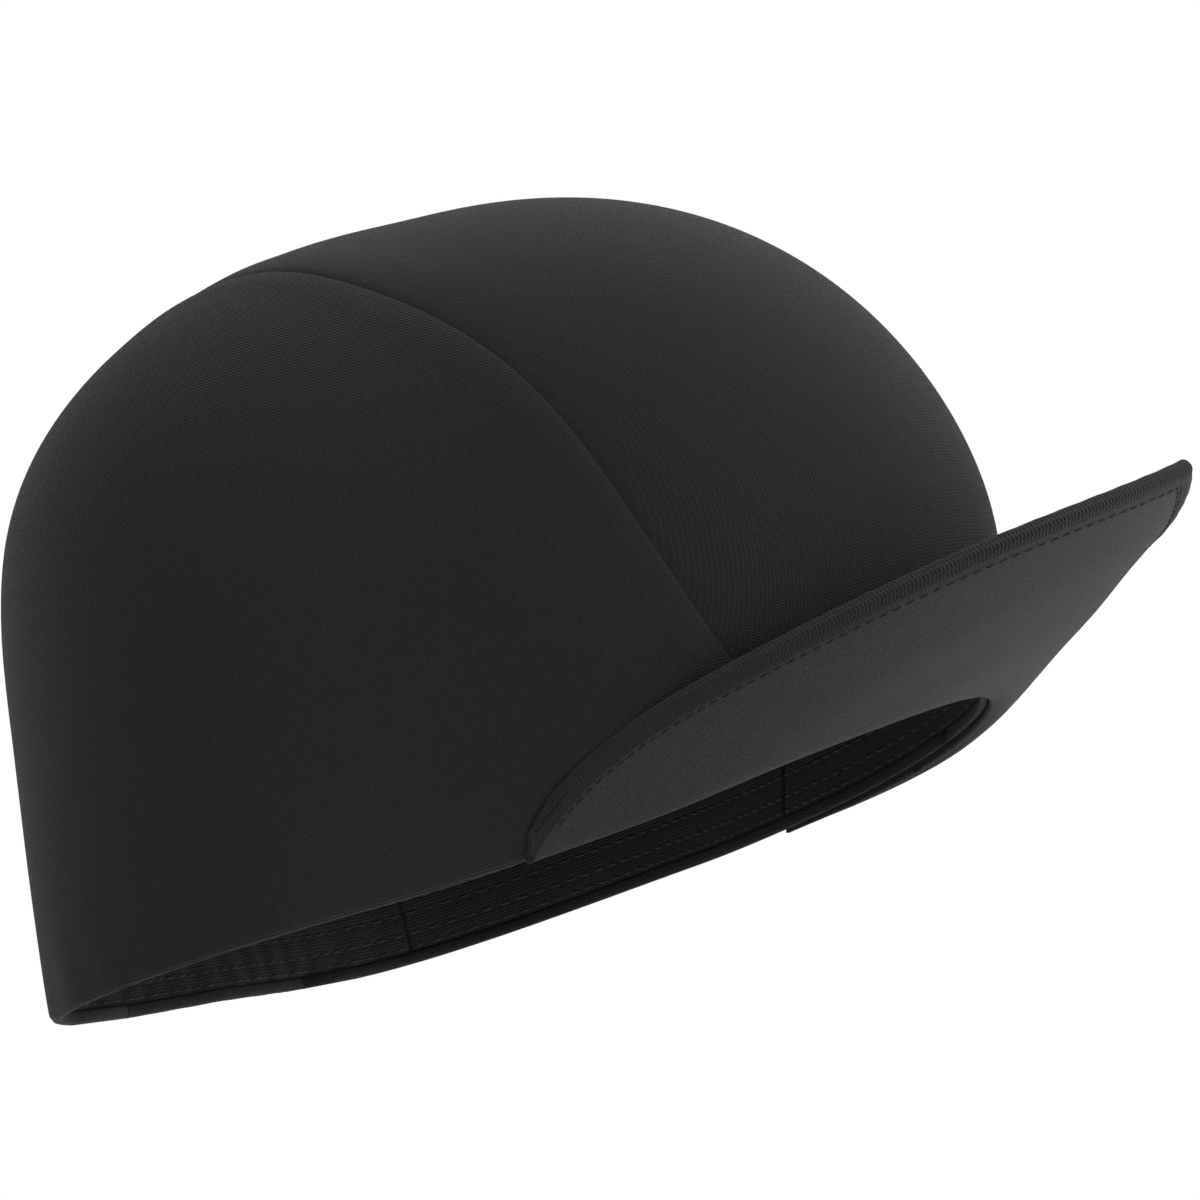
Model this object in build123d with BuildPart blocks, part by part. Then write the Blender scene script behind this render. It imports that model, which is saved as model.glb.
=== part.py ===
"""Soft three-panel cap with a short turned-up brim, for wear on its own or under a helmet.

Frame: the front faces -Y, +X is the wearer's left and +Z is up. The origin is the middle of the head
opening, on the level of the lowest point of the hem. Angles around the head are measured from the
front. All sizes are in millimetres and degrees.
"""

from build123d import *
import math
import os

# ---- crown ----------------------------------------------------------------------------------------
PLAN_RADIUS = (88.0, 1.0, 10.8, 7.6)  # widest section: mean radius, then cos 1, 2 and 3 times the angle
WIDEST_HEIGHT = 53.0  # height of the widest section
WALL_DROP = 49.0  # from the widest section down to the hem
DOME_RISE = 84.0  # from the widest section up to the top
DOME_POWER = (2.41, -0.44, -0.03)  # roundness of the profile: mean, cos 1 and 2 times the angle
TOP_SHIFT = -12.5  # how far the top sits from the middle, towards the back
AXIS_LEAN = 0.06  # slope of the crown's middle line towards the back
HEM_TUCK = (0.13, 0.07, -0.02)  # share by which the wall draws in at the hem
HEM_CORNER = 17.0  # fullness of the hem at the two rear corners
CORNER_ANGLE = 138.0  # where those corners are
CORNER_SPREAD = 24.0  # how far around the hem a corner reaches
CORNER_TOP = 38.0  # height over the widest section at which a corner starts to swell
HEM_SIDE = 2.8  # height of the hem at the sides
HEM_RISE = 11.1  # rise of the hem from the sides to the middle of the front
HEM_FRONT_Y = 97.0  # distance forward to the hem
HEM_BACK_Y = 85.5  # distance back to the hem

# ---- fabric layers, measured inwards from the outer surface ---------------------------------------
FABRIC = 1.2  # crown fabric
TAPE = 1.0  # seam allowance inside a crown seam
BAND = 1.6  # inner band, with the rear elastic inside it
ELASTIC = 0.8
THREAD = 0.5  # stitching standing on the band
BAND_WIDTH = 30.0  # height of the inner band
BAND_FRONT_ANGLE = 66.0  # the front part of the band ends here
BAND_REAR_ANGLE = 140.0  # the elasticated part of the band starts here
BAND_JOIN = 0.3  # angle left at each end of a part of the band
ELASTIC_LOW, ELASTIC_HIGH = 3.0, 21.0  # the elastic's edges above the hem
STITCH_ROWS = (2.4, 5.8, 10.0, 13.4)  # heights of the rows of stitching above the hem
STITCH_WIDTH = 0.7

# ---- crown seams ----------------------------------------------------------------------------------
SEAM_OFFSET = (45.0, -85.0, -64.0, 399.0)  # half width of the centre panel, a cubic from front to back
SEAM_GAP = 0.05  # either side of the seam line
TAPE_HALF = 5.0  # half width of a seam allowance
TAPE_ENDS = (39.0, 150.0)  # fan angles between which it runs, just above the inner band

# ---- brim -----------------------------------------------------------------------------------------
BRIM_HALF_ANGLE = 68.0  # where the brim ends on the hem, either side of the front
BRIM_REACH = 58.0  # length of the brim at the middle
BRIM_TAPER = (0.86, 1.62)  # powers that shape the brim's outline
BRIM_SPLAY = 0.32  # how far the brim's sides turn outwards, as a share of the angle at the hem
BRIM_RISE = 29.0  # slope of the brim at the middle
BRIM_CUP = 38.0  # further slope at the brim's ends
BRIM_GAP = 0.2  # between the brim and the crown
BRIM_HANG = 0.6  # how far the brim's upper face hangs below the edge of the hem
COVER = 0.9  # brim fabric, above and below
BOARD = 1.2  # stiffener
ROLL_WIDTH = 5.5  # edge roll
ROLL_PROUD = 0.35  # how far the roll stands out on each face
PANEL_END = 0.90  # where the flat layers end, as a share of the brim's half angle
ROLL_END = 0.925  # where the edge roll ends
FOLD_Y = -103.0  # the line that the brim bends along, parallel to X
FLAP_ROOM = 1.0  # from that line forward to the flap
WING_ROOM = 7.5  # from that line back to the wings, which stay on the crown

# ---- construction ---------------------------------------------------------------------------------
FAN_HEIGHT = -10.0  # the crown's cross-sections fan out around a line across the head at this height
FAN_ENDS = (3.0, 177.0)  # first and last cross-section: level is 0 at the front and 180 at the back
FAN_SECTIONS = 29
FAN_HUB = 20.0  # upright rays start this far from that line
SECTION_POINTS = 11  # points across a panel
SIDE_END = 86.0  # where a side panel's cross-section ends, below the hem
BAND_STEP = 8.0  # angle between the band's cross-sections
BRIM_SECTIONS = 25
KEEP_OUT_DEPTH = 12.0  # how deep the room kept for the crown reaches
BRIM_SEARCH = 8.0  # how far back inside the crown a ray starts
SHORTEST = 0.5  # least length of a brim cross-section
LAYER_GAP = 0.08  # between neighbouring layers
FAR = 300.0

os.makedirs("parts", exist_ok=True)


def series(terms, angle):
    """Sum of cosines of whole multiples of the angle."""
    return sum(term * math.cos(order * angle) for order, term in enumerate(terms))


def powers(terms, value):
    """Sum of rising powers of the value."""
    return sum(term * value**order for order, term in enumerate(terms))


def steps(low, high, count):
    """Evenly spaced values from low to high."""
    return [low + (high - low) * index / (count - 1) for index in range(count)]


# ---- crown surface --------------------------------------------------------------------------------
def middle_shift(height):
    """How far the crown's middle line stands back, at a height from the widest section."""
    return TOP_SHIFT * max(height / DOME_RISE, 0.0) ** 2 + AXIS_LEAN * height


def crown_radius(height, angle, inset):
    """Distance from the crown's middle line to its surface."""
    radius = series(PLAN_RADIUS, angle) - inset
    off_corner = (math.degrees(math.acos(math.cos(angle))) - CORNER_ANGLE) / CORNER_SPREAD
    flare = max((CORNER_TOP - height) / (CORNER_TOP + WALL_DROP), 0.0) ** 2
    corner = HEM_CORNER * math.exp(-(off_corner**2)) * flare
    if height > 0:
        power = series(DOME_POWER, angle)
        share = min(height / (DOME_RISE - inset), 1.0)
        return radius * (1 - share**power) ** (1 / power) + corner
    drop = (height / WALL_DROP) ** 2
    return radius * (1 - series(HEM_TUCK, angle) * drop) + corner


def is_inside(point, inset):
    """Whether a point lies within the crown surface."""
    height = point.Z - WIDEST_HEIGHT
    back = point.Y - middle_shift(height)
    angle = math.atan2(point.X, -back)
    return math.hypot(point.X, back) < crown_radius(height, angle, inset)


def crown_hit(start, direction, inset):
    """Where a ray from inside the crown meets its surface."""
    near = 0.0
    far = FAR
    for _ in range(40):
        middle = (near + far) / 2
        if is_inside(start + direction * middle, inset):
            near = middle
        else:
            far = middle
    return start + direction * near


def wall_point(z, angle, inset):
    """Point of the crown surface below the widest section."""
    height = z - WIDEST_HEIGHT
    out = crown_radius(height, angle, inset)
    return Vector(out * math.sin(angle), middle_shift(height) - out * math.cos(angle), z)


def hem_height(y):
    """Height of the hem at a distance along the head: it rises towards the front."""
    if y < 0:
        return HEM_SIDE + HEM_RISE * (y / HEM_FRONT_Y) ** 2
    return HEM_SIDE - HEM_SIDE * (y / HEM_BACK_Y) ** 2


def hem_point(angle, inset=0.0, above=0.0):
    """Point of the crown surface at a height above the hem, found by repeated stepping."""
    point = wall_point(0.0, angle, inset)
    for _ in range(12):
        point = wall_point(hem_height(point.Y) + above, angle, inset)
    return point


def above_hem():
    """Everything higher than the hem."""
    with BuildPart() as above:
        with BuildSketch(Plane.YZ):
            with BuildLine():
                edge = Spline([(y, hem_height(y)) for y in steps(-130, 130, 27)])
                Polyline(edge @ 1, (130, FAR), (-130, FAR), edge @ 0)
            make_face()
        extrude(amount=FAR, both=True)
    return above.part


def strip_face(outer, inner):
    """A thin cross-section between two rows of points, with a straight edge at each end."""
    edges = [
        Edge.make_spline(outer) if len(outer) > 2 else Edge.make_line(*outer),
        Edge.make_line(outer[-1], inner[-1]),
        Edge.make_spline(inner) if len(inner) > 2 else Edge.make_line(*inner),
        Edge.make_line(inner[0], outer[0]),
    ]
    return Face(Wire(edges))


def seam_offset(turned):
    """Half width of the centre panel at a fan angle in degrees."""
    low, high = FAN_ENDS
    return powers(SEAM_OFFSET, (turned - low) / (high - low) - 0.5)


def fan_ray(x, turned, lean):
    """Start and direction of a ray in a cross-section of the fan, leaning outwards from upright."""
    turn = math.radians(turned)
    tilt = math.radians(lean)
    upright = Vector(0, -math.cos(turn), math.sin(turn))
    direction = Vector(1, 0, 0) * math.sin(tilt) + upright * math.cos(tilt)
    start = Vector(x, 0, FAN_HEIGHT) + upright * (FAN_HUB * math.cos(tilt) ** 2)
    return start, direction


def fan_section(turned, rays, outer_inset, inner_inset):
    """Cross-section of one layer of the crown, through a row of (x, lean) rays."""
    outer = [crown_hit(*fan_ray(x, turned, lean), outer_inset) for x, lean in rays]
    inner = [crown_hit(*fan_ray(x, turned, lean), inner_inset) for x, lean in rays]
    return strip_face(outer, inner)


def center_rays(turned):
    """Upright rays across the centre panel."""
    half = seam_offset(turned) - SEAM_GAP
    return [(x, 0.0) for x in steps(-half, half, SECTION_POINTS)]


def left_rays(turned):
    """Rays from the seam down the left panel."""
    half = seam_offset(turned) + SEAM_GAP
    return [(half, lean) for lean in steps(0.0, SIDE_END, SECTION_POINTS)]


def tape_rays(turned):
    """Rays across the left seam allowance."""
    half = seam_offset(turned)
    seam = crown_hit(*fan_ray(half, turned, 0.0), 0.0)
    reach = (seam - Vector(0, 0, FAN_HEIGHT)).length
    lean = math.degrees(math.asin(half / reach))
    spread = math.degrees(TAPE_HALF / reach)
    return [(0.0, side_lean) for side_lean in steps(lean - spread, lean + spread, 3)]


def fan_loft(rays, ends, count, outer_inset, inner_inset):
    """A layer of the crown, through cross-sections of the fan."""
    with BuildPart() as layer:
        levels = steps(*ends, count)
        loft(sections=[fan_section(level, rays(level), outer_inset, inner_inset) for level in levels])
    return layer.part


def band_layer(start, end, low, high, outer_inset, inner_inset):
    """A strip of a layer around the head, between two angles and two heights above the hem."""
    count = max(4, round(abs(end - start) / BAND_STEP) + 1)
    with BuildPart() as layer:
        faces = []
        for angle in steps(math.radians(start), math.radians(end), count):
            heights = steps(low, high, 2 if high - low < BAND_WIDTH / 4 else 5)
            outer = [hem_point(angle, outer_inset, above) for above in heights]
            inner = [hem_point(angle, inner_inset, above) for above in heights]
            faces.append(strip_face(outer, inner))
        loft(sections=faces)
    return layer.part


# ---- crown panels ---------------------------------------------------------------------------------
over_hem = above_hem()

with BuildPart() as crown_panel_center:
    add(fan_loft(center_rays, FAN_ENDS, FAN_SECTIONS, 0.0, FABRIC))
    add(over_hem, mode=Mode.INTERSECT)
crown_panel_center.part.label = "crown_panel_center"
export_step(crown_panel_center.part, "parts/crown_panel_center.step")

with BuildPart() as crown_panel_left:
    add(fan_loft(left_rays, FAN_ENDS, FAN_SECTIONS, 0.0, FABRIC))
    add(over_hem, mode=Mode.INTERSECT)
crown_panel_left.part.label = "crown_panel_left"
export_step(crown_panel_left.part, "parts/crown_panel_left.step")

with BuildPart() as crown_panel_right:
    add(crown_panel_left.part)
    mirror(about=Plane.YZ, mode=Mode.REPLACE)
crown_panel_right.part.label = "crown_panel_right"
export_step(crown_panel_right.part, "parts/crown_panel_right.step")

# ---- seam allowances inside the two crown seams ---------------------------------------------------
tape_outer = FABRIC + LAYER_GAP

with BuildPart() as seam_allowance_left:
    add(fan_loft(tape_rays, TAPE_ENDS, FAN_SECTIONS, tape_outer, tape_outer + TAPE))
seam_allowance_left.part.label = "seam_allowance_left"
export_step(seam_allowance_left.part, "parts/seam_allowance_left.step")

with BuildPart() as seam_allowance_right:
    add(seam_allowance_left.part)
    mirror(about=Plane.YZ, mode=Mode.REPLACE)
seam_allowance_right.part.label = "seam_allowance_right"
export_step(seam_allowance_right.part, "parts/seam_allowance_right.step")

# ---- inner band, its rear elastic and its stitching -----------------------------------------------
band_outer = FABRIC + LAYER_GAP
band_inner = band_outer + BAND
band_joints = {
    "front": (-BAND_FRONT_ANGLE, BAND_FRONT_ANGLE),
    "left": (BAND_FRONT_ANGLE, BAND_REAR_ANGLE),
    "rear": (BAND_REAR_ANGLE, 360 - BAND_REAR_ANGLE),
    "right": (-BAND_REAR_ANGLE, -BAND_FRONT_ANGLE),
}
elastic_span = (BAND_REAR_ANGLE + BAND_JOIN, 360 - BAND_REAR_ANGLE - BAND_JOIN)

with BuildPart() as rear_elastic:
    elastic_face = band_outer + (BAND - ELASTIC) / 2
    add(band_layer(*elastic_span, ELASTIC_LOW, ELASTIC_HIGH, elastic_face, elastic_face + ELASTIC))
rear_elastic.part.label = "rear_elastic"
export_step(rear_elastic.part, "parts/rear_elastic.step")

for place, (start, end) in band_joints.items():
    with BuildPart() as band:
        add(band_layer(start + BAND_JOIN, end - BAND_JOIN, 0.0, BAND_WIDTH, band_outer, band_inner))
        if place == "rear":
            add(rear_elastic.part, mode=Mode.SUBTRACT)
    band.part.label = f"inner_band_{place}"
    export_step(band.part, f"parts/inner_band_{place}.step")

    with BuildPart() as stitching:
        for row in STITCH_ROWS:
            ends = (start + BAND_JOIN, end - BAND_JOIN)
            heights = (row - STITCH_WIDTH / 2, row + STITCH_WIDTH / 2)
            face = band_inner + LAYER_GAP
            add(band_layer(*ends, *heights, face, face + THREAD))
    stitching.part.label = f"band_stitching_{place}"
    export_step(stitching.part, f"parts/band_stitching_{place}.step")


# ---- brim -----------------------------------------------------------------------------------------
def brim_length(share):
    """Length of the brim at a share of the way from its middle to its ends."""
    reach_power, round_power = BRIM_TAPER
    return BRIM_REACH * (1 - abs(share) ** reach_power) ** (1 / round_power)


def brim_frame(share):
    """Root point, outward direction and upward normal of the brim at a share of its half angle."""
    angle = math.radians(BRIM_HALF_ANGLE) * share
    splay = BRIM_SPLAY * angle
    slope = math.radians(BRIM_RISE + BRIM_CUP * share**2)
    level = Vector(math.sin(splay), -math.cos(splay), 0)
    outward = level * math.cos(slope) + Vector(0, 0, math.sin(slope))
    normal = Vector(0, 0, math.cos(slope)) - level * math.sin(slope)
    return hem_point(angle, above=-BRIM_HANG), outward, normal


def crown_edge(start, outward):
    """Distance along a ray to where it has left the crown."""
    inside = start - outward * BRIM_SEARCH
    if not is_inside(inside, -BRIM_GAP):
        return 0.0
    return (crown_hit(inside, outward, -BRIM_GAP) - start).dot(outward)


def brim_section(share, low, high, inner_side, outer_side):
    """Cross-section of a brim layer, kept clear of the crown."""
    root, outward, normal = brim_frame(share)
    length = outer_side(share)
    corners = []
    for level, order in ((low, 1), (high, -1)):
        start = root + normal * level
        clear = max(inner_side(share), crown_edge(start, outward))
        row = [start + outward * min(clear, length - SHORTEST), start + outward * length]
        corners += row[::order]
    return Face(Wire.make_polygon(corners))


def brim_layer(end, low, high, inner_side, outer_side):
    """A layer of the brim between two heights over its upper face, from one end to the other."""
    with BuildPart() as layer:
        shares = steps(-end, end, BRIM_SECTIONS)
        loft(sections=[brim_section(share, low, high, inner_side, outer_side) for share in shares])
    return layer.part


def at_root(share):
    """The brim's inner edge, where it meets the crown."""
    return 0.0


def at_panel_end(share):
    """Where the flat layers end, just short of the edge roll."""
    return brim_length(share) - ROLL_WIDTH - LAYER_GAP


def at_roll(share):
    """Where the edge roll starts."""
    return brim_length(share) - ROLL_WIDTH


def at_edge(share):
    """The brim's outer edge."""
    return brim_length(share)


def block(start_x, end_x, start_y, end_y):
    """Everything between two distances across the head and two along it."""
    with BuildPart() as space:
        with Locations(((start_x + end_x) / 2, (start_y + end_y) / 2, 0)):
            Box(end_x - start_x, end_y - start_y, FAR)
    return space.part


def keep_out():
    """The crown's own room, which the brim may not enter."""
    with BuildPart() as room:
        add(fan_loft(center_rays, FAN_ENDS, FAN_SECTIONS, -BRIM_GAP, KEEP_OUT_DEPTH))
    with BuildPart() as side_room:
        add(fan_loft(left_rays, FAN_ENDS, FAN_SECTIONS, -BRIM_GAP, KEEP_OUT_DEPTH))
    return room.part, side_room.part


center_room, side_room = keep_out()
flap_side = block(-FAR, FAR, -FAR, FOLD_Y - FLAP_ROOM)
wing_side = block(0.0, FAR, FOLD_Y + WING_ROOM, FAR)

board_low = -COVER - BOARD
under_low = board_low - COVER
brim_layers = {
    "top_cover": (PANEL_END, -COVER, 0.0, at_root, at_panel_end),
    "board": (PANEL_END, board_low + LAYER_GAP, -COVER - LAYER_GAP, at_root, at_panel_end),
    "under_cover": (PANEL_END, under_low, board_low, at_root, at_panel_end),
    "edge_roll": (ROLL_END, under_low - ROLL_PROUD, ROLL_PROUD, at_roll, at_edge),
}
for name, shape in brim_layers.items():
    layer = brim_layer(*shape)

    with BuildPart() as flap:
        add(layer)
        add(flap_side, mode=Mode.INTERSECT)
    flap.part.label = f"brim_flap_{name}"
    export_step(flap.part, f"parts/brim_flap_{name}.step")

    with BuildPart() as left_wing:
        add(layer)
        add(wing_side, mode=Mode.INTERSECT)
        add(center_room, mode=Mode.SUBTRACT)
        add(side_room, mode=Mode.SUBTRACT)
    left_wing.part.label = f"brim_wing_left_{name}"
    export_step(left_wing.part, f"parts/brim_wing_left_{name}.step")

    with BuildPart() as right_wing:
        add(left_wing.part)
        mirror(about=Plane.YZ, mode=Mode.REPLACE)
    right_wing.part.label = f"brim_wing_right_{name}"
    export_step(right_wing.part, f"parts/brim_wing_right_{name}.step")
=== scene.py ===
"""Looks of a soft three-panel cap with a turned-up brim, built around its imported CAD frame.

The frame is the part's own: front -Y, +X the wearer's left, +Z up, metres. The shape formulas below work
in millimetres, and pieces are scaled to metres when they are made.
"""
import math

import bmesh
import bpy
import numpy as np
from mathutils import Matrix, Vector


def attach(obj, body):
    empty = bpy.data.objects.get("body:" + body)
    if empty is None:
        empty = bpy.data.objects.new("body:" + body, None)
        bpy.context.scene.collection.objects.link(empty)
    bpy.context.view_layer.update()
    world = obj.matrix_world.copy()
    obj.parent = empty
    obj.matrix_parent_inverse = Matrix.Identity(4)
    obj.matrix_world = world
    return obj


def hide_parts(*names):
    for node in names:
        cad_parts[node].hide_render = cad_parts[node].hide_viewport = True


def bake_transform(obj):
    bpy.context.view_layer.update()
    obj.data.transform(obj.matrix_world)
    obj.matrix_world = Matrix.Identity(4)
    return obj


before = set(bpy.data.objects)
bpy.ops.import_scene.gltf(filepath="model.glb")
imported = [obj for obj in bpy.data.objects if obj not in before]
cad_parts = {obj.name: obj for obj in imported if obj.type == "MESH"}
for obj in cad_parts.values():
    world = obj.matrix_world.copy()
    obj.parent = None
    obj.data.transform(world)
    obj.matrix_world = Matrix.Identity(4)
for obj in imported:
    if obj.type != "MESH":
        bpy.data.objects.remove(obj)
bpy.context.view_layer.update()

MM = 0.001
random = np.random.default_rng(7)

# ---- crown shape, as in the CAD part ----
PLAN_RADIUS = (88.0, 1.0, 10.8, 7.6)
WIDEST_HEIGHT = 53.0
WALL_DROP = 49.0
DOME_RISE = 84.0
DOME_POWER = (2.41, -0.44, -0.03)
TOP_SHIFT = -12.5
AXIS_LEAN = 0.06
HEM_TUCK = (0.13, 0.07, -0.02)
HEM_CORNER = 17.0
CORNER_ANGLE = 138.0
CORNER_SPREAD = 24.0
CORNER_TOP = 38.0
HEM_SIDE = 2.8
HEM_RISE = 11.1
HEM_FRONT_Y = 97.0
HEM_BACK_Y = 85.5
SEAM_OFFSET = (45.0, -85.0, -64.0, 399.0)
FAN_HEIGHT = -10.0
FAN_ENDS = (3.0, 177.0)
FAN_HUB = 20.0
CROWN_MIDDLE = (0.0, 0.0, 45.0)

# ---- fabric layers, inwards from the outer surface ----
FABRIC = 1.2
BAND_FACE = 1.3
BAND = 1.6
FOLD_RADIUS = 1.5
BAND_FOOT = 2.6
BAND_WIDTH = 30.0
BAND_FRONT_ANGLE = 66.0
BAND_REAR_ANGLE = 140.0
STITCH_ROWS = (3.6, 6.6, 11.0, 14.0)
STITCH_LENGTH = 2.3
STITCH_PITCH = 3.3
STITCH_RADIUS = 0.24
HEM_RADIUS = 80.0
GROOVE = 0.6
GROOVE_WIDTH = 0.8
LOFT = 0.22
LOFT_WIDTH = 5.0
TAPE_HALF_WIDTH = 5.0
SIDE_CLOTH_RADIUS = 82.0

# ---- brim ----
BRIM_HALF_ANGLE = 68.0
BRIM_REACH = 59.2
BRIM_TAPER = (0.86, 1.62)
BRIM_SPLAY = 0.32
BRIM_RISE = 29.0
BRIM_CUP = 38.0
BRIM_HANG = 0.6
BRIM_THICK = 3.0
ROLL_WIDTH = 4.8
ROLL_PROUD = 0.35
BRIM_END_SHARE = 0.972
COVER_OVERLAP = 1.2
COVER_CLOTH_RADIUS = 75.0
EDGE_STITCH_LENGTH = 1.7
EDGE_STITCH_PITCH = 2.6
EDGE_STITCH_RADIUS = 0.2

# ---- stage ----
FLOOR_Z = -360.0
FLOOR_HALF = 4000.0
FLOOR_POINTS = 41
CAMERA_PLACE = (-0.6136, -0.3376, -0.0486)
CAMERA_LENS = 106.2
LIT_MIDDLE = (0.0, -0.02, 0.06)


def series(terms, angle):
    return sum(term * np.cos(order * angle) for order, term in enumerate(terms))


def powers(terms, value):
    return sum(term * value**order for order, term in enumerate(terms))


def smooth(value):
    """0 to 1 with soft ends."""
    value = np.clip(value, 0.0, 1.0)
    return value * value * (3 - 2 * value)


def unit(vectors):
    length = np.linalg.norm(vectors, axis=-1, keepdims=True)
    return vectors / np.maximum(length, 1e-9)


def stack(x, y, z):
    return np.stack(np.broadcast_arrays(x, y, z), axis=-1).astype(float)


# ---- crown surface ----
def middle_shift(height):
    return TOP_SHIFT * np.maximum(height / DOME_RISE, 0.0) ** 2 + AXIS_LEAN * height


def crown_radius(height, angle, inset=0.0):
    radius = series(PLAN_RADIUS, angle) - inset
    power = series(DOME_POWER, angle)
    share = np.clip(height / (DOME_RISE - inset), 0.0, 1.0)
    dome = radius * (1 - share**power) ** (1 / power)
    drop = (np.minimum(height, 0.0) / WALL_DROP) ** 2
    from_front = np.degrees(np.arccos(np.cos(angle)))
    corner = HEM_CORNER * np.exp(-(((from_front - CORNER_ANGLE) / CORNER_SPREAD) ** 2))
    flare = np.clip((CORNER_TOP - height) / (CORNER_TOP + WALL_DROP), 0.0, None) ** 2
    return dome - radius * series(HEM_TUCK, angle) * drop + corner * flare


def around(points):
    """Height from the widest section, angle from the front, and distance from the middle line."""
    height = points[..., 2] - WIDEST_HEIGHT
    back = points[..., 1] - middle_shift(height)
    return height, np.arctan2(points[..., 0], -back), np.hypot(points[..., 0], back)


def crown_hit(start, direction, inset=0.0):
    """Where rays from inside the crown meet its surface."""
    near = np.zeros(direction.shape[:-1])
    far = near + 300.0
    for _ in range(34):
        middle = (near + far) / 2
        height, angle, out = around(start + direction * middle[..., None])
        within = out < crown_radius(height, angle, inset)
        near = np.where(within, middle, near)
        far = np.where(within, far, middle)
    return start + direction * near[..., None]


def wall_point(z, angle, inset):
    height = z - WIDEST_HEIGHT
    out = crown_radius(height, angle, inset)
    return stack(out * np.sin(angle), middle_shift(height) - out * np.cos(angle), z)


def hem_height(y):
    rise = HEM_SIDE + HEM_RISE * (y / HEM_FRONT_Y) ** 2
    return np.where(y < 0, rise, HEM_SIDE - HEM_SIDE * (y / HEM_BACK_Y) ** 2)


def hem_point(angle, inset=0.0, above=0.0):
    """Point of the crown surface at a height above the hem."""
    point = wall_point(angle * 0.0, angle, inset)
    for _ in range(12):
        point = wall_point(hem_height(point[..., 1]) + above, angle, inset)
    return point


def over_hem(point):
    return point[..., 2] - hem_height(point[..., 1])


def seam_offset(turned):
    low, high = FAN_ENDS
    return powers(SEAM_OFFSET, (turned - low) / (high - low) - 0.5)


def fan_hit(x, turned, lean):
    """The crown surface along a ray in a cross-section of the fan."""
    turn, tilt = np.radians(turned), np.radians(lean)
    upright = stack(turn * 0, -np.cos(turn), np.sin(turn))
    direction = stack(1.0, 0.0, 0.0) * np.sin(tilt)[..., None] + upright * np.cos(tilt)[..., None]
    hub = upright * (FAN_HUB * np.cos(tilt) ** 2)[..., None]
    return crown_hit(stack(x, 0.0, FAN_HEIGHT) + hub, direction)


def find(low, high, is_low):
    """The value between low and high where is_low stops holding."""
    for _ in range(26):
        middle = (low + high) / 2
        below = is_low(middle)
        low = np.where(below, middle, low)
        high = np.where(below, high, middle)
    return (low + high) / 2


def normals_of(grid):
    """Outward normals of a grid of points on the crown."""
    along = np.gradient(grid, axis=0)
    across = np.gradient(grid, axis=1)
    normal = np.cross(along, across)
    outward = unit(grid - np.array(CROWN_MIDDLE))
    flat = np.linalg.norm(normal, axis=-1, keepdims=True) < 1e-7
    normal = unit(np.where(flat, outward, normal))
    flip = np.sign(np.sum(normal * outward, axis=-1, keepdims=True))
    return unit(normal * np.where(flip == 0, 1, flip))


# ---- meshes ----
def make_mesh(name, points, faces, material, uvs=None):
    """A smooth-shaded piece from points in millimetres."""
    mesh = bpy.data.meshes.new(name)
    mesh.from_pydata((points * MM).tolist(), [], faces)
    if uvs is not None:
        layer = mesh.uv_layers.new(name="cloth")
        loops = np.zeros(len(mesh.loops), np.int32)
        mesh.loops.foreach_get("vertex_index", loops)
        layer.data.foreach_set("uv", uvs[loops].astype(np.float32).ravel())
    mesh.polygons.foreach_set("use_smooth", np.ones(len(mesh.polygons), bool))
    mesh.materials.append(material)
    mesh.update()
    piece = bpy.data.objects.new(name, mesh)
    bpy.context.scene.collection.objects.link(piece)
    return piece


def grid_faces(rows, columns, first=0, wrap=False):
    faces = []
    for row in range(rows - 1):
        for column in range(columns if wrap else columns - 1):
            beside = (column + 1) % columns
            a = first + row * columns + column
            b = first + row * columns + beside
            faces.append((a, b, b + columns, a + columns))
    return faces


def tube_mesh(name, loops, material, uvs):
    """A closed piece from a row of closed cross-section loops, shaped (row, loop point, 3)."""
    rows, columns = loops.shape[:2]
    faces = grid_faces(rows, columns, wrap=True)
    faces.append(tuple(range(columns))[::-1])
    faces.append(tuple((rows - 1) * columns + k for k in range(columns)))
    piece = make_mesh(name, loops.reshape(-1, 3), faces, material, uvs.reshape(-1, 2))
    tidy_mesh(piece)
    return piece


def tidy_mesh(piece):
    """Merges doubled points and turns every face outwards."""
    work = bmesh.new()
    work.from_mesh(piece.data)
    bmesh.ops.remove_doubles(work, verts=work.verts, dist=0.02 * MM)
    bmesh.ops.dissolve_degenerate(work, edges=work.edges, dist=0.004 * MM)
    bmesh.ops.recalc_face_normals(work, faces=work.faces)
    work.to_mesh(piece.data)
    work.free()


# ---- materials ----
def node(tree, kind, inputs=(), **settings):
    """A shader node with its settings, and its inputs linked or set."""
    made = tree.nodes.new(kind)
    for name, value in settings.items():
        setattr(made, name, value)
    for name, value in dict(inputs).items():
        if isinstance(value, bpy.types.NodeSocket):
            tree.links.new(value, made.inputs[name])
        else:
            made.inputs[name].default_value = value
    return made


def math_node(tree, operation, first, second=0.0, third=None):
    inputs = {0: first, 1: second}
    if third is not None:
        inputs[2] = third
    return node(tree, "ShaderNodeMath", inputs, operation=operation).outputs[0]


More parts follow.
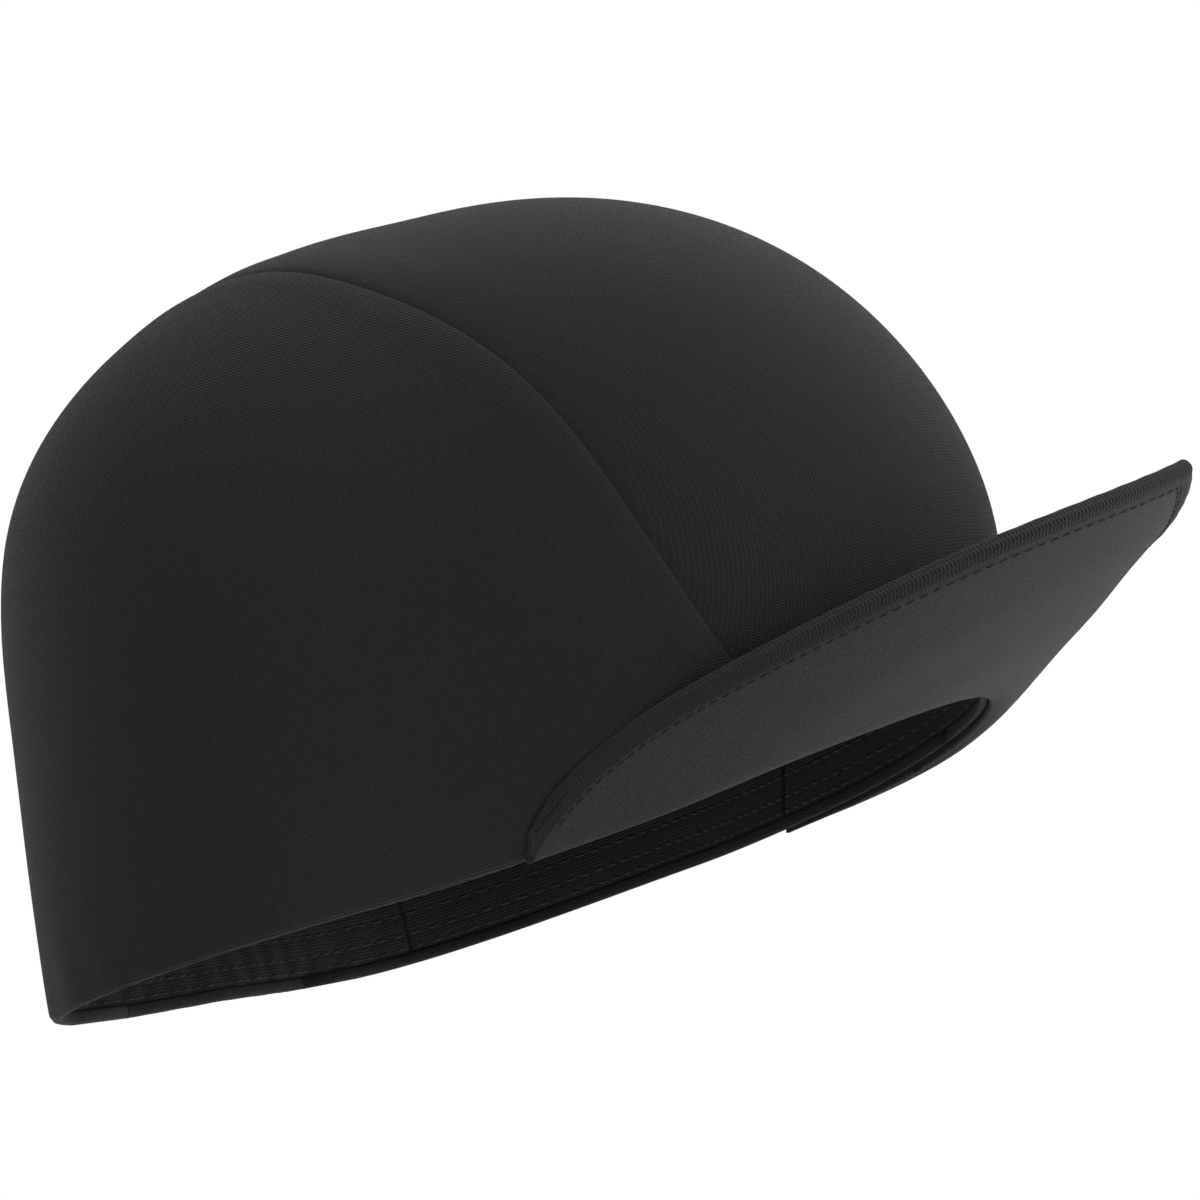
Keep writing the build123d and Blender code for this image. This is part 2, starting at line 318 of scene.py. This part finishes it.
def cloth_material(name, colour, course=0.58, wale=0.48, depth=0.09, sheen=0.35, roughness=0.85, twill=0.35,
                   sheen_patchiness=0.25):
    """Knitted cloth: rows of stitches across the piece's own cloth coordinates, in millimetres. Its colour
    carries painted shade in the knit's valleys and painted sheen in broad patches.
    """
    material = bpy.data.materials.new(name)
    material.use_nodes = True
    tree = material.node_tree
    shader = tree.nodes["Principled BSDF"]
    uv = node(tree, "ShaderNodeUVMap", uv_map="cloth")
    place = node(tree, "ShaderNodeTexCoord")

    def noise(scale, detail):
        inputs = {"Vector": place.outputs["Object"], "Scale": scale, "Detail": detail}
        return node(tree, "ShaderNodeTexNoise", inputs).outputs["Fac"]

    wobble = noise(260.0, 2.0)
    split = node(tree, "ShaderNodeSeparateXYZ", {"Vector": uv.outputs["UV"]})
    shift = math_node(tree, "MULTIPLY", wobble, 1.6)
    rows = math_node(tree, "MULTIPLY_ADD", split.outputs["Y"], 2 * math.pi / course, shift)
    columns = math_node(tree, "MULTIPLY_ADD", split.outputs["X"], 2 * math.pi / wale, shift)
    row_wave = math_node(tree, "SINE", rows)
    bent = math_node(tree, "MULTIPLY_ADD", row_wave, 0.9, columns)
    column_wave = math_node(tree, "SINE", bent)
    diagonal = math_node(tree, "SINE", math_node(tree, "ADD", rows, columns))
    knit = math_node(tree, "MULTIPLY_ADD", column_wave, 0.5, row_wave)
    knit = math_node(tree, "MULTIPLY_ADD", diagonal, twill, knit)
    fuzz = noise(2600.0, 3.0)
    height = math_node(tree, "MULTIPLY_ADD", fuzz, 1.3, knit)
    # Painted sheen: broad noise patches of lighter and darker colour stand in for the cloth's sheen.
    sheen_patches = math_node(tree, "SUBTRACT", noise(34.0, 3.0), 0.5)
    # Painted shade: the colour darkens in the knit's valleys and lightens on its raised stitches.
    tone_with_painted_light = math_node(tree, "MULTIPLY_ADD", knit, 0.10, 1.0)
    grain = math_node(tree, "SUBTRACT", fuzz, 0.5)
    tone_with_painted_light = math_node(tree, "MULTIPLY_ADD", grain, 1.5, tone_with_painted_light)
    tone_with_painted_light = math_node(tree, "MULTIPLY_ADD", sheen_patches, sheen_patchiness, tone_with_painted_light)
    tint = node(tree, "ShaderNodeVectorMath", {0: colour, 1: tone_with_painted_light}, operation="MULTIPLY")
    bump = node(tree, "ShaderNodeBump", {"Height": height, "Distance": depth * MM, "Strength": 0.75})
    tree.links.new(tint.outputs[0], shader.inputs["Base Color"])
    tree.links.new(bump.outputs["Normal"], shader.inputs["Normal"])
    shader.inputs["Roughness"].default_value = roughness
    shader.inputs["Specular IOR Level"].default_value = 0.12
    shader.inputs["Sheen Weight"].default_value = sheen
    shader.inputs["Sheen Roughness"].default_value = 0.45
    shader.inputs["Sheen Tint"].default_value = (0.75, 0.76, 0.8, 1.0)
    return material


crown_knit = cloth_material("crown_knit", (0.0078, 0.0078, 0.0084), sheen=0.075)
band_knit = cloth_material("band_knit", (0.0135, 0.0135, 0.014), course=0.7, wale=0.6, depth=0.12, sheen=0.05)
lining = cloth_material("brim_lining", (0.0205, 0.0205, 0.0217), course=0.5, wale=0.45, depth=0.06,
                        sheen=0.06, sheen_patchiness=0.12)
roll_knit = cloth_material("roll_knit", (0.0105, 0.0105, 0.0112), course=0.75, wale=1.3, depth=0.16,
                           sheen=0.08)
thread = cloth_material("thread", (0.028, 0.028, 0.029), course=0.3, wale=0.25, depth=0.05, sheen=0.06)
thread_dark = cloth_material("thread_dark", (0.006, 0.006, 0.006), course=0.3, wale=0.25, depth=0.05,
                             sheen=0.02)


# ---- crown panels ----
def seam_ends():
    """Fan angles at which a seam meets the front and back of the hem."""
    def below_front(turned):
        return over_hem(fan_hit(seam_offset(turned), turned, turned * 0)) < FOLD_RADIUS

    def above_back(turned):
        return over_hem(fan_hit(seam_offset(turned), turned, turned * 0)) >= FOLD_RADIUS

    front = find(np.array(3.0), np.array(60.0), below_front)
    back = find(np.array(120.0), np.array(178.0), above_back)
    return float(front), float(back)


def cloth_relief(points, from_seam):
    """How far the cloth stands in from the smooth surface: the sunk seam, its soft edges and pulls."""
    along = points[..., 1] * 0.8 + points[..., 2]
    groove = GROOVE * np.exp(-np.abs(from_seam) / GROOVE_WIDTH)
    shoulder = -LOFT * np.exp(-(((np.abs(from_seam) - LOFT_WIDTH) / 3.2) ** 2))
    pulls = 0.035 * np.sin(along * 0.62 + 0.9 * np.sin(along * 0.13)) * np.exp(-np.abs(from_seam) / 5.0)
    _, angle, _ = around(points)
    behind = smooth((np.abs(angle) - math.radians(112)) / math.radians(35))
    low = np.exp(-((np.maximum(over_hem(points), 0.0) / 13.0) ** 2))
    gathers = 0.32 * np.sin(angle * 52 + 1.4 * np.sin(angle * 9)) * behind * low
    slack = 0.12 * np.sin(points[..., 0] * 0.055 + points[..., 2] * 0.075 + 1.0)
    slack += 0.10 * np.sin(points[..., 1] * 0.09 - points[..., 2] * 0.06 + points[..., 0] * 0.03)
    return groove + shoulder + pulls + gathers + slack + 0.22


def hem_fold(last):
    """Closing rows of a panel: the cloth turns under at the hem and back up inside the band."""
    _, angle, _ = around(last)
    relief = np.linalg.norm(last - hem_point(angle, 0.0, FOLD_RADIUS), axis=-1)
    rows = []
    for turn in np.linspace(0.0, math.pi, 11)[1:]:
        inset = FOLD_RADIUS * (1 - math.cos(turn))
        above = FOLD_RADIUS * (1 - math.sin(turn))
        rows.append(hem_point(angle, inset + relief * (1 + math.cos(turn)) / 2, above))
    rows.append(hem_point(angle, 2 * FOLD_RADIUS, BAND_FOOT - 0.3))
    rows.append(hem_point(angle, FABRIC + 0.2, BAND_FOOT - 0.1))
    return rows


def panel(name, base, from_seam, uv_of, folded_ends):
    """A crown panel: base is a grid whose named ends of axis 1 (0 first, 1 last) lie at the hem."""
    normal = normals_of(base)
    outer = base - normal * cloth_relief(base, from_seam)[..., None]
    inner = base - normal * (FABRIC + 0.5 * GROOVE * np.exp(-np.abs(from_seam) / GROOVE_WIDTH))[..., None]
    start = list(hem_fold(outer[:, 0])[::-1]) if 0 in folded_ends else []
    end = hem_fold(outer[:, -1]) if 1 in folded_ends else []
    loop = start + [outer[:, k] for k in range(outer.shape[1])] + end
    loop += [inner[:, k] for k in range(inner.shape[1] - 1, -1, -1)]
    loops = np.stack(loop, axis=1)
    return tube_mesh(name, loops, crown_knit, uv_of(loops))


def crown_pieces():
    """The centre panel and the two side panels."""
    front, back = seam_ends()
    # The centre panel: columns run from front to back.
    spread = np.sin(np.linspace(-1, 1, 121) * math.pi / 2)

    def column_hit(turned):
        return fan_hit(spread * seam_offset(turned), turned, turned * 0)

    first = find(spread * 0 + 3.0, spread * 0 + 60.0, lambda t: over_hem(column_hit(t)) < FOLD_RADIUS)
    last = find(spread * 0 + 120.0, spread * 0 + 178.0, lambda t: over_hem(column_hit(t)) >= FOLD_RADIUS)
    turned = first[:, None] + (last - first)[:, None] * np.linspace(0, 1, 281)[None, :]
    half = seam_offset(turned)
    grid = fan_hit(spread[:, None] * half, turned, turned * 0)
    from_seam = half * (1 - np.abs(spread[:, None])) * 0.9

    def center_uv(loops):
        turn = np.arctan2(loops[..., 2] - 20.0, -loops[..., 1])
        return np.stack([loops[..., 0], turn * 105.0], axis=-1)

    center = panel("crown_center", grid, from_seam, center_uv, (0, 1))
    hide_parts("crown_panel_center")

    # A side panel: rows follow the seam, and columns run down to the hem.
    share = (1 - np.cos(np.linspace(0, 1, 261) * math.pi)) / 2
    seam_turn = front + (back - front) * (0.5 * share + 0.5 * np.linspace(0, 1, 261))
    half = seam_offset(seam_turn)

    def above_hem(lean):
        return over_hem(fan_hit(half, seam_turn, lean)) > FOLD_RADIUS

    lowest = find(half * 0, half * 0 + 89.0, above_hem)
    down = (1 - np.cos(np.linspace(0, 1, 131) * math.pi)) / 2
    lean = lowest[:, None] * down[None, :]
    turned = np.broadcast_to(seam_turn[:, None], lean.shape)
    grid = fan_hit(np.broadcast_to(half[:, None], lean.shape), turned, lean)
    from_seam = np.linalg.norm(grid - grid[:, :1], axis=-1)

    def side_uv(loops):
        _, angle, _ = around(loops)
        return np.stack([angle * SIDE_CLOTH_RADIUS, loops[..., 2]], axis=-1)

    left = panel("crown_left", grid, from_seam, side_uv, (1,))
    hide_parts("crown_panel_left")
    mirrored = grid * np.array([-1.0, 1.0, 1.0])
    right = panel("crown_right", mirrored, from_seam, side_uv, (1,))
    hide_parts("crown_panel_right")
    for piece in (center, left, right):
        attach(piece, "crown")
    return center, left, right


def seam_tapes():
    """The seam allowances inside the crown, opened flat against it."""
    turned = np.linspace(34.0, 152.0, 181)
    half = seam_offset(turned)
    seam = fan_hit(half, turned, turned * 0)
    reach = np.linalg.norm(seam - np.array([0.0, 0.0, FAN_HEIGHT]), axis=-1)
    middle = np.degrees(np.arcsin(half / reach))
    across = np.linspace(-TAPE_HALF_WIDTH, TAPE_HALF_WIDTH, 15)
    lean = middle[:, None] + np.degrees(across[None, :] / reach[:, None])
    grid = fan_hit(lean * 0, np.broadcast_to(turned[:, None], lean.shape), lean)
    normal = normals_of(grid)
    edge = np.abs(across) / TAPE_HALF_WIDTH
    wave = 0.12 * np.sin(turned * 2.1)[:, None]
    dip = 1 - 0.75 * np.exp(-((across / 0.7) ** 2))
    thick = 0.85 * (1 - edge**6)[None, :] * dip[None, :] + wave * edge**4
    near = grid - normal * (FABRIC + 0.1)
    far = grid - normal * (FABRIC + 0.15 + np.maximum(thick, 0.0))[..., None]
    loops = np.concatenate([near, far[:, ::-1]], axis=1)
    uvs = np.stack(np.broadcast_arrays(np.r_[across, across[::-1]][None, :], turned[:, None] * 1.9), axis=-1)
    for side, sign in (("left", 1.0), ("right", -1.0)):
        tape = tube_mesh(f"seam_tape_{side}", loops * np.array([sign, 1.0, 1.0]), band_knit, uvs)
        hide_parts(f"seam_allowance_{side}")
        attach(tape, "crown")


# ---- inner band and its stitching ----
def band_inset(angle, above):
    """How far in the band's inner face stands: ribbed cloth, gathered over the elastic behind."""
    behind = smooth((np.abs(np.arctan2(np.sin(angle), np.cos(angle))) - math.radians(138)) / math.radians(6))
    gathers = 0.35 * np.sin(angle * 64 + 1.1 * np.sin(angle * 11)) * behind * smooth((24.0 - above) / 6.0)
    soft = 0.15 * np.sin(angle * 7 + above * 0.12)
    pinch = sum(0.22 * np.exp(-(((above - row) / 0.8) ** 2)) for row in STITCH_ROWS)
    return BAND_FACE + BAND + gathers + soft - pinch


def bands():
    """The four parts of the inner band and the rows of stitches on each."""
    joints = {
        "front": (-BAND_FRONT_ANGLE, BAND_FRONT_ANGLE),
        "left": (BAND_FRONT_ANGLE, BAND_REAR_ANGLE),
        "rear": (BAND_REAR_ANGLE, 360 - BAND_REAR_ANGLE),
        "right": (-BAND_REAR_ANGLE, -BAND_FRONT_ANGLE),
    }
    for place, (start, end) in joints.items():
        angle = np.radians(np.linspace(start + 0.04, end - 0.04, max(80, int((end - start) * 3))))
        above = np.r_[BAND_FOOT, BAND_FOOT + 0.3, np.linspace(BAND_FOOT + 0.8, BAND_WIDTH - 0.9, 56),
                      BAND_WIDTH - 0.3, BAND_WIDTH]
        grid_angle = np.broadcast_to(angle[:, None], (len(angle), len(above)))
        grid_above = np.broadcast_to(above[None, :], grid_angle.shape)
        rim = np.ones(len(above))
        rim[[0, -1]] = 0.35
        rim[[1, -2]] = 0.8
        ends = np.minimum(1.0, 0.45 + np.minimum(np.arange(len(angle)), np.arange(len(angle))[::-1]) * 0.4)
        inset = BAND_FACE + (band_inset(grid_angle, grid_above) - BAND_FACE) * rim[None, :] * ends[:, None]
        face = hem_point(grid_angle, inset, grid_above)
        back = hem_point(grid_angle, BAND_FACE + 0.02, grid_above)
        loops = np.concatenate([back, face[:, ::-1]], axis=1)
        uv = np.stack([grid_angle * SIDE_CLOTH_RADIUS, grid_above], axis=-1)
        band = tube_mesh(f"band_{place}", loops, band_knit, np.concatenate([uv, uv[:, ::-1]], axis=1))
        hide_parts(f"inner_band_{place}", *(["rear_elastic"] if place == "rear" else []))
        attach(band, "crown")
        stitches(place, math.radians(start), math.radians(end))


def stitch_mesh(name, lines, radius, material):
    """A piece made of short rounded stitches, each a row of five points with the direction of its width."""
    sides = 8
    turns = np.linspace(0, 2 * math.pi, sides, endpoint=False)
    points, faces = [], []
    for line, across in lines:
        along = unit(np.gradient(line, axis=0))
        inward = unit(np.cross(along, across))
        first = len(points) * 5 * sides
        girth = (radius * np.array([0.4, 0.9, 1.0, 0.9, 0.4]))[:, None]
        rings = [line + girth * (across * math.cos(turn) + inward * math.sin(turn)) for turn in turns]
        points.append(np.stack(rings, axis=1).reshape(-1, 3))
        faces += grid_faces(5, sides, first, wrap=True)
        faces.append(tuple(first + k for k in range(sides))[::-1])
        faces.append(tuple(first + 4 * sides + k for k in range(sides)))
    points = np.concatenate(points)
    piece = make_mesh(name, points, faces, material, points[:, :2])
    tidy_mesh(piece)
    return piece


def stitches(place, start, end):
    """Rows of short stitches standing on the band."""
    reach = np.linspace(-0.5, 0.5, 5)
    arch = np.sqrt(np.maximum(1 - (2 * reach) ** 2, 0.0))
    lines = []
    for row in STITCH_ROWS:
        count = int((end - start) * HEM_RADIUS / STITCH_PITCH)
        for middle in start + (end - start) * (np.arange(count) + 0.5) / count:
            angle = middle + reach * STITCH_LENGTH / HEM_RADIUS
            above = row + reach * random.normal(0, 0.1)
            line = hem_point(angle, band_inset(angle, above) - 0.05 + 0.22 * arch, above)
            along = unit(np.gradient(line, axis=0))
            lines.append((line, unit(np.array([0.0, 0.0, 1.0]) - along * along[:, 2:3])))
    piece = stitch_mesh(f"stitches_{place}", lines, STITCH_RADIUS, thread)
    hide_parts(f"band_stitching_{place}")
    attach(piece, "crown")


# ---- brim ----
def brim_length(share):
    reach_power, round_power = BRIM_TAPER
    return BRIM_REACH * np.maximum(1 - np.abs(share) ** reach_power, 0.0) ** (1 / round_power)


def cover_reach(share):
    """How far out the brim's covers go: a little way under the edge roll."""
    return np.maximum(brim_length(share) - ROLL_WIDTH + COVER_OVERLAP, 0.3)


def brim_points(share, distance, level):
    """Points of the brim, kept outside the crown."""
    angle = np.radians(BRIM_HALF_ANGLE) * share
    splay = BRIM_SPLAY * angle
    slope = np.radians(BRIM_RISE + BRIM_CUP * share**2)
    flat = stack(np.sin(splay), -np.cos(splay), splay * 0)
    rise = np.array([0.0, 0.0, 1.0])
    outward = flat * np.cos(slope)[..., None] + rise * np.sin(slope)[..., None]
    normal = rise * np.cos(slope)[..., None] - flat * np.sin(slope)[..., None]
    root = hem_point(angle, 0.0, -BRIM_HANG)
    points = root + outward * distance[..., None] + normal * level[..., None]
    height, around_angle, out = around(points)
    least = crown_radius(height, around_angle) + 0.25
    push = np.where(distance > 0.5, np.maximum(least - out, 0.0), 0.0)
    return points + stack(np.sin(around_angle), -np.cos(around_angle), 0.0) * push[..., None]


def brim_wave(share, distance):
    """Slight unevenness of the stuffed cloth."""
    return 0.18 * np.sin(share * 9 + distance * 0.11) + 0.10 * np.sin(distance * 0.3 - share * 17)


def brim_slab(name, low_of, high_of, material, nodes):
    """A cover of the brim, from the crown to under the edge roll."""
    share = np.sin(np.linspace(-1, 1, 161) * math.pi / 2) * BRIM_END_SHARE
    across = np.r_[np.linspace(0, 0.12, 12), np.linspace(0.12, 1, 52)[1:]]
    reach = cover_reach(share)
    grid_share = np.broadcast_to(share[:, None], (len(share), len(across)))
    distance = -0.4 + (reach[:, None] + 0.4) * across[None, :]
    low = brim_points(grid_share, distance, low_of(grid_share, distance, reach[:, None]))
    high = brim_points(grid_share, distance, high_of(grid_share, distance, reach[:, None]))
    loops = np.concatenate([low, high[:, ::-1]], axis=1)
    angle = grid_share * math.radians(BRIM_HALF_ANGLE) * COVER_CLOTH_RADIUS
    uv = np.stack([angle, distance], axis=-1)
    slab = tube_mesh(name, loops, material, np.concatenate([uv, uv[:, ::-1]], axis=1))
    finish_brim(slab, nodes)


def finish_brim(piece, nodes):
    """Hides the CAD parts that the piece replaces and bakes its placement into the mesh."""
    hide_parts(*nodes)
    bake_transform(piece)


def rise_of(share, distance):
    """The brim's cloth stands a little over the CAD layers away from the crown, and thins to its ends."""
    return 0.4 * np.clip(distance / 12.0, 0.0, 1.0) + 1.0 * smooth((np.abs(share) - 0.6) / 0.4)


def brim_nodes(layer):
    return [f"brim_flap_{layer}", f"brim_wing_left_{layer}", f"brim_wing_right_{layer}"]


def under_low(share, distance, reach):
    root = np.sqrt(np.clip(1 - (1 - np.clip(distance / 4.5, 0, 1)) ** 2, 0, 1))
    pillow = 0.35 * np.sin(np.clip(distance / reach, 0, 1) * math.pi)
    thick = (BRIM_THICK - 0.7) * root
    return rise_of(share, distance) - 0.7 - thick - pillow + brim_wave(share, distance) * root


def under_high(share, distance, reach):
    return under_low(share, distance, reach) + 0.6


def top_high(share, distance, reach):
    pillow = 0.25 * np.sin(np.clip(distance / reach, 0, 1) * math.pi)
    return 0.8 * rise_of(share, distance) + pillow + 0.5 * brim_wave(share, distance)


def top_low(share, distance, reach):
    root = np.clip(distance / 4.5, 0, 1)
    return top_high(share, distance, reach) - 0.6 - 1.4 * root


def brim_edge():
    """The rounded roll around the brim's edge."""
    share = np.sin(np.linspace(-1, 1, 241) * math.pi / 2) * BRIM_END_SHARE
    length = brim_length(share)
    half_width = np.minimum(ROLL_WIDTH / 2, length / 2 + 0.5)
    half_height = (BRIM_THICK / 2 + ROLL_PROUD) * np.minimum(1.0, 0.3 + length / 16)
    turn = np.linspace(0, 2 * math.pi, 40, endpoint=False)
    wide = np.sign(np.cos(turn)) * np.abs(np.cos(turn)) ** 0.8
    tall = np.sign(np.sin(turn)) * np.abs(np.sin(turn)) ** 0.8
    grid_share = np.broadcast_to(share[:, None], (len(share), len(turn)))
    distance = (length - half_width)[:, None] + half_width[:, None] * wide[None, :]
    level = rise_of(grid_share, distance) - BRIM_THICK / 2 + half_height[:, None] * tall[None, :]
    level = level + 0.05 * np.sin(share * 150)[:, None] + brim_wave(grid_share, distance)
    loops = brim_points(grid_share, distance, level)
    along = np.r_[0.0, np.cumsum(np.linalg.norm(np.diff(loops[:, 0], axis=0), axis=-1))]
    uv = np.stack(np.broadcast_arrays(turn[None, :] * 2.2, along[:, None]), axis=-1)
    roll = tube_mesh("brim_edge", loops, roll_knit, uv)
    finish_brim(roll, brim_nodes("edge_roll"))


def brim_stitches():
    """Dark stitches in the groove between the brim's lining and its edge roll."""
    share = np.linspace(-0.93, 0.93, 2400)
    distance = brim_length(share) - ROLL_WIDTH + 0.05
    reach = cover_reach(share)
    level = under_low(share, distance, reach)
    path = brim_points(share, distance, level)
    travelled = np.r_[0.0, np.cumsum(np.linalg.norm(np.diff(path, axis=0), axis=-1))]
    lines = []
    for begin in np.arange(1.0, travelled[-1] - 3.0, EDGE_STITCH_PITCH):
        at = np.interp(begin + np.linspace(0.0, EDGE_STITCH_LENGTH, 5), travelled, share)
        reach = cover_reach(at)
        inner = brim_length(at) - ROLL_WIDTH + 0.05
        line = brim_points(at, inner, under_low(at, inner, reach))
        wide = brim_points(at, inner + 0.5, under_low(at, inner + 0.5, reach))
        lines.append((line, unit(wide - line)))
    piece = stitch_mesh("brim_stitches", lines, EDGE_STITCH_RADIUS, thread_dark)
    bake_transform(piece)


center, left, right = crown_pieces()
seam_tapes()
bands()
brim_slab("brim_underside", under_low, under_high, lining, brim_nodes("under_cover"))
upper_nodes = brim_nodes("top_cover") + brim_nodes("board")
brim_slab("brim_upper", top_low, top_high, crown_knit, upper_nodes)
brim_edge()
brim_stitches()


# ---- stage ----
def pale_floor():
    """A wide pale floor well below the cap. It fades into the white surroundings and is clear from below."""
    steps = np.linspace(-FLOOR_HALF, FLOOR_HALF, FLOOR_POINTS)
    points = np.array([[x, y, FLOOR_Z] for y in steps for x in steps])
    material = bpy.data.materials.new("floor")
    material.use_nodes = True
    tree = material.node_tree
    shader = tree.nodes["Principled BSDF"]
    shader.inputs["Base Color"].default_value = (0.86, 0.86, 0.86, 1.0)
    shader.inputs["Roughness"].default_value = 0.9
    place = node(tree, "ShaderNodeNewGeometry")
    away = node(tree, "ShaderNodeVectorMath", {0: place.outputs["Position"]}, operation="LENGTH")
    fade = node(tree, "ShaderNodeMapRange", {"Value": away.outputs["Value"], "From Min": 0.7, "From Max": 2.4,
                                             "To Min": 0.0, "To Max": 1.0}, interpolation_type="SMOOTHSTEP")
    unseen = math_node(tree, "MAXIMUM", fade.outputs["Result"], place.outputs["Backfacing"])
    clear = node(tree, "ShaderNodeBsdfTransparent")
    mix = node(tree, "ShaderNodeMixShader", {0: unseen, 1: shader.outputs[0], 2: clear.outputs[0]})
    tree.links.new(mix.outputs[0], tree.nodes["Material Output"].inputs["Surface"])
    floor = make_mesh("floor", points, grid_faces(FLOOR_POINTS, FLOOR_POINTS), material)


CAMERA_RIGHT = Vector((0.4700, -0.8433, -0.2609)).normalized()
CAMERA_UP = Vector((-0.0071, -0.2992, 0.9542)).normalized()
CAMERA_BACK = Vector((-0.8827, -0.4466, -0.1466)).normalized()


def add_camera():
    data = bpy.data.cameras.new("camera")
    data.sensor_width = 36.0
    data.lens = CAMERA_LENS
    camera = bpy.data.objects.new("camera", data)
    turn = Matrix((CAMERA_RIGHT, CAMERA_UP, CAMERA_BACK)).transposed().to_4x4()
    camera.matrix_world = Matrix.Translation(CAMERA_PLACE) @ turn
    bpy.context.scene.collection.objects.link(camera)
    bpy.context.scene.camera = camera


def area_light(name, right, up, back, size, power):
    """A soft square light placed by its distances to the right of, above and in front of the cap."""
    middle = Vector(LIT_MIDDLE)
    place = middle + CAMERA_RIGHT * right + CAMERA_UP * up + CAMERA_BACK * back
    data = bpy.data.lights.new(name, "AREA")
    data.shape = "SQUARE"
    data.size = size
    data.energy = power
    light = bpy.data.objects.new(name, data)
    light.location = place
    light.rotation_euler = (middle - place).to_track_quat("-Z", "Y").to_euler()
    bpy.context.scene.collection.objects.link(light)


def add_world():
    world = bpy.data.worlds.new("studio")
    world.use_nodes = True
    world.node_tree.nodes["Background"].inputs["Color"].default_value = (1.0, 1.0, 1.0, 1.0)
    world.node_tree.nodes["Background"].inputs["Strength"].default_value = 1.0
    bpy.context.scene.world = world


pale_floor()
add_world()
add_camera()
area_light("key", 0.95, 0.55, 0.55, 0.6, 15.0)
area_light("low", 0.45, -0.55, 0.9, 0.8, 5.0)
area_light("side", -0.9, -0.5, 0.5, 0.7, 1.5)
bpy.context.scene.view_settings.view_transform = "Standard"
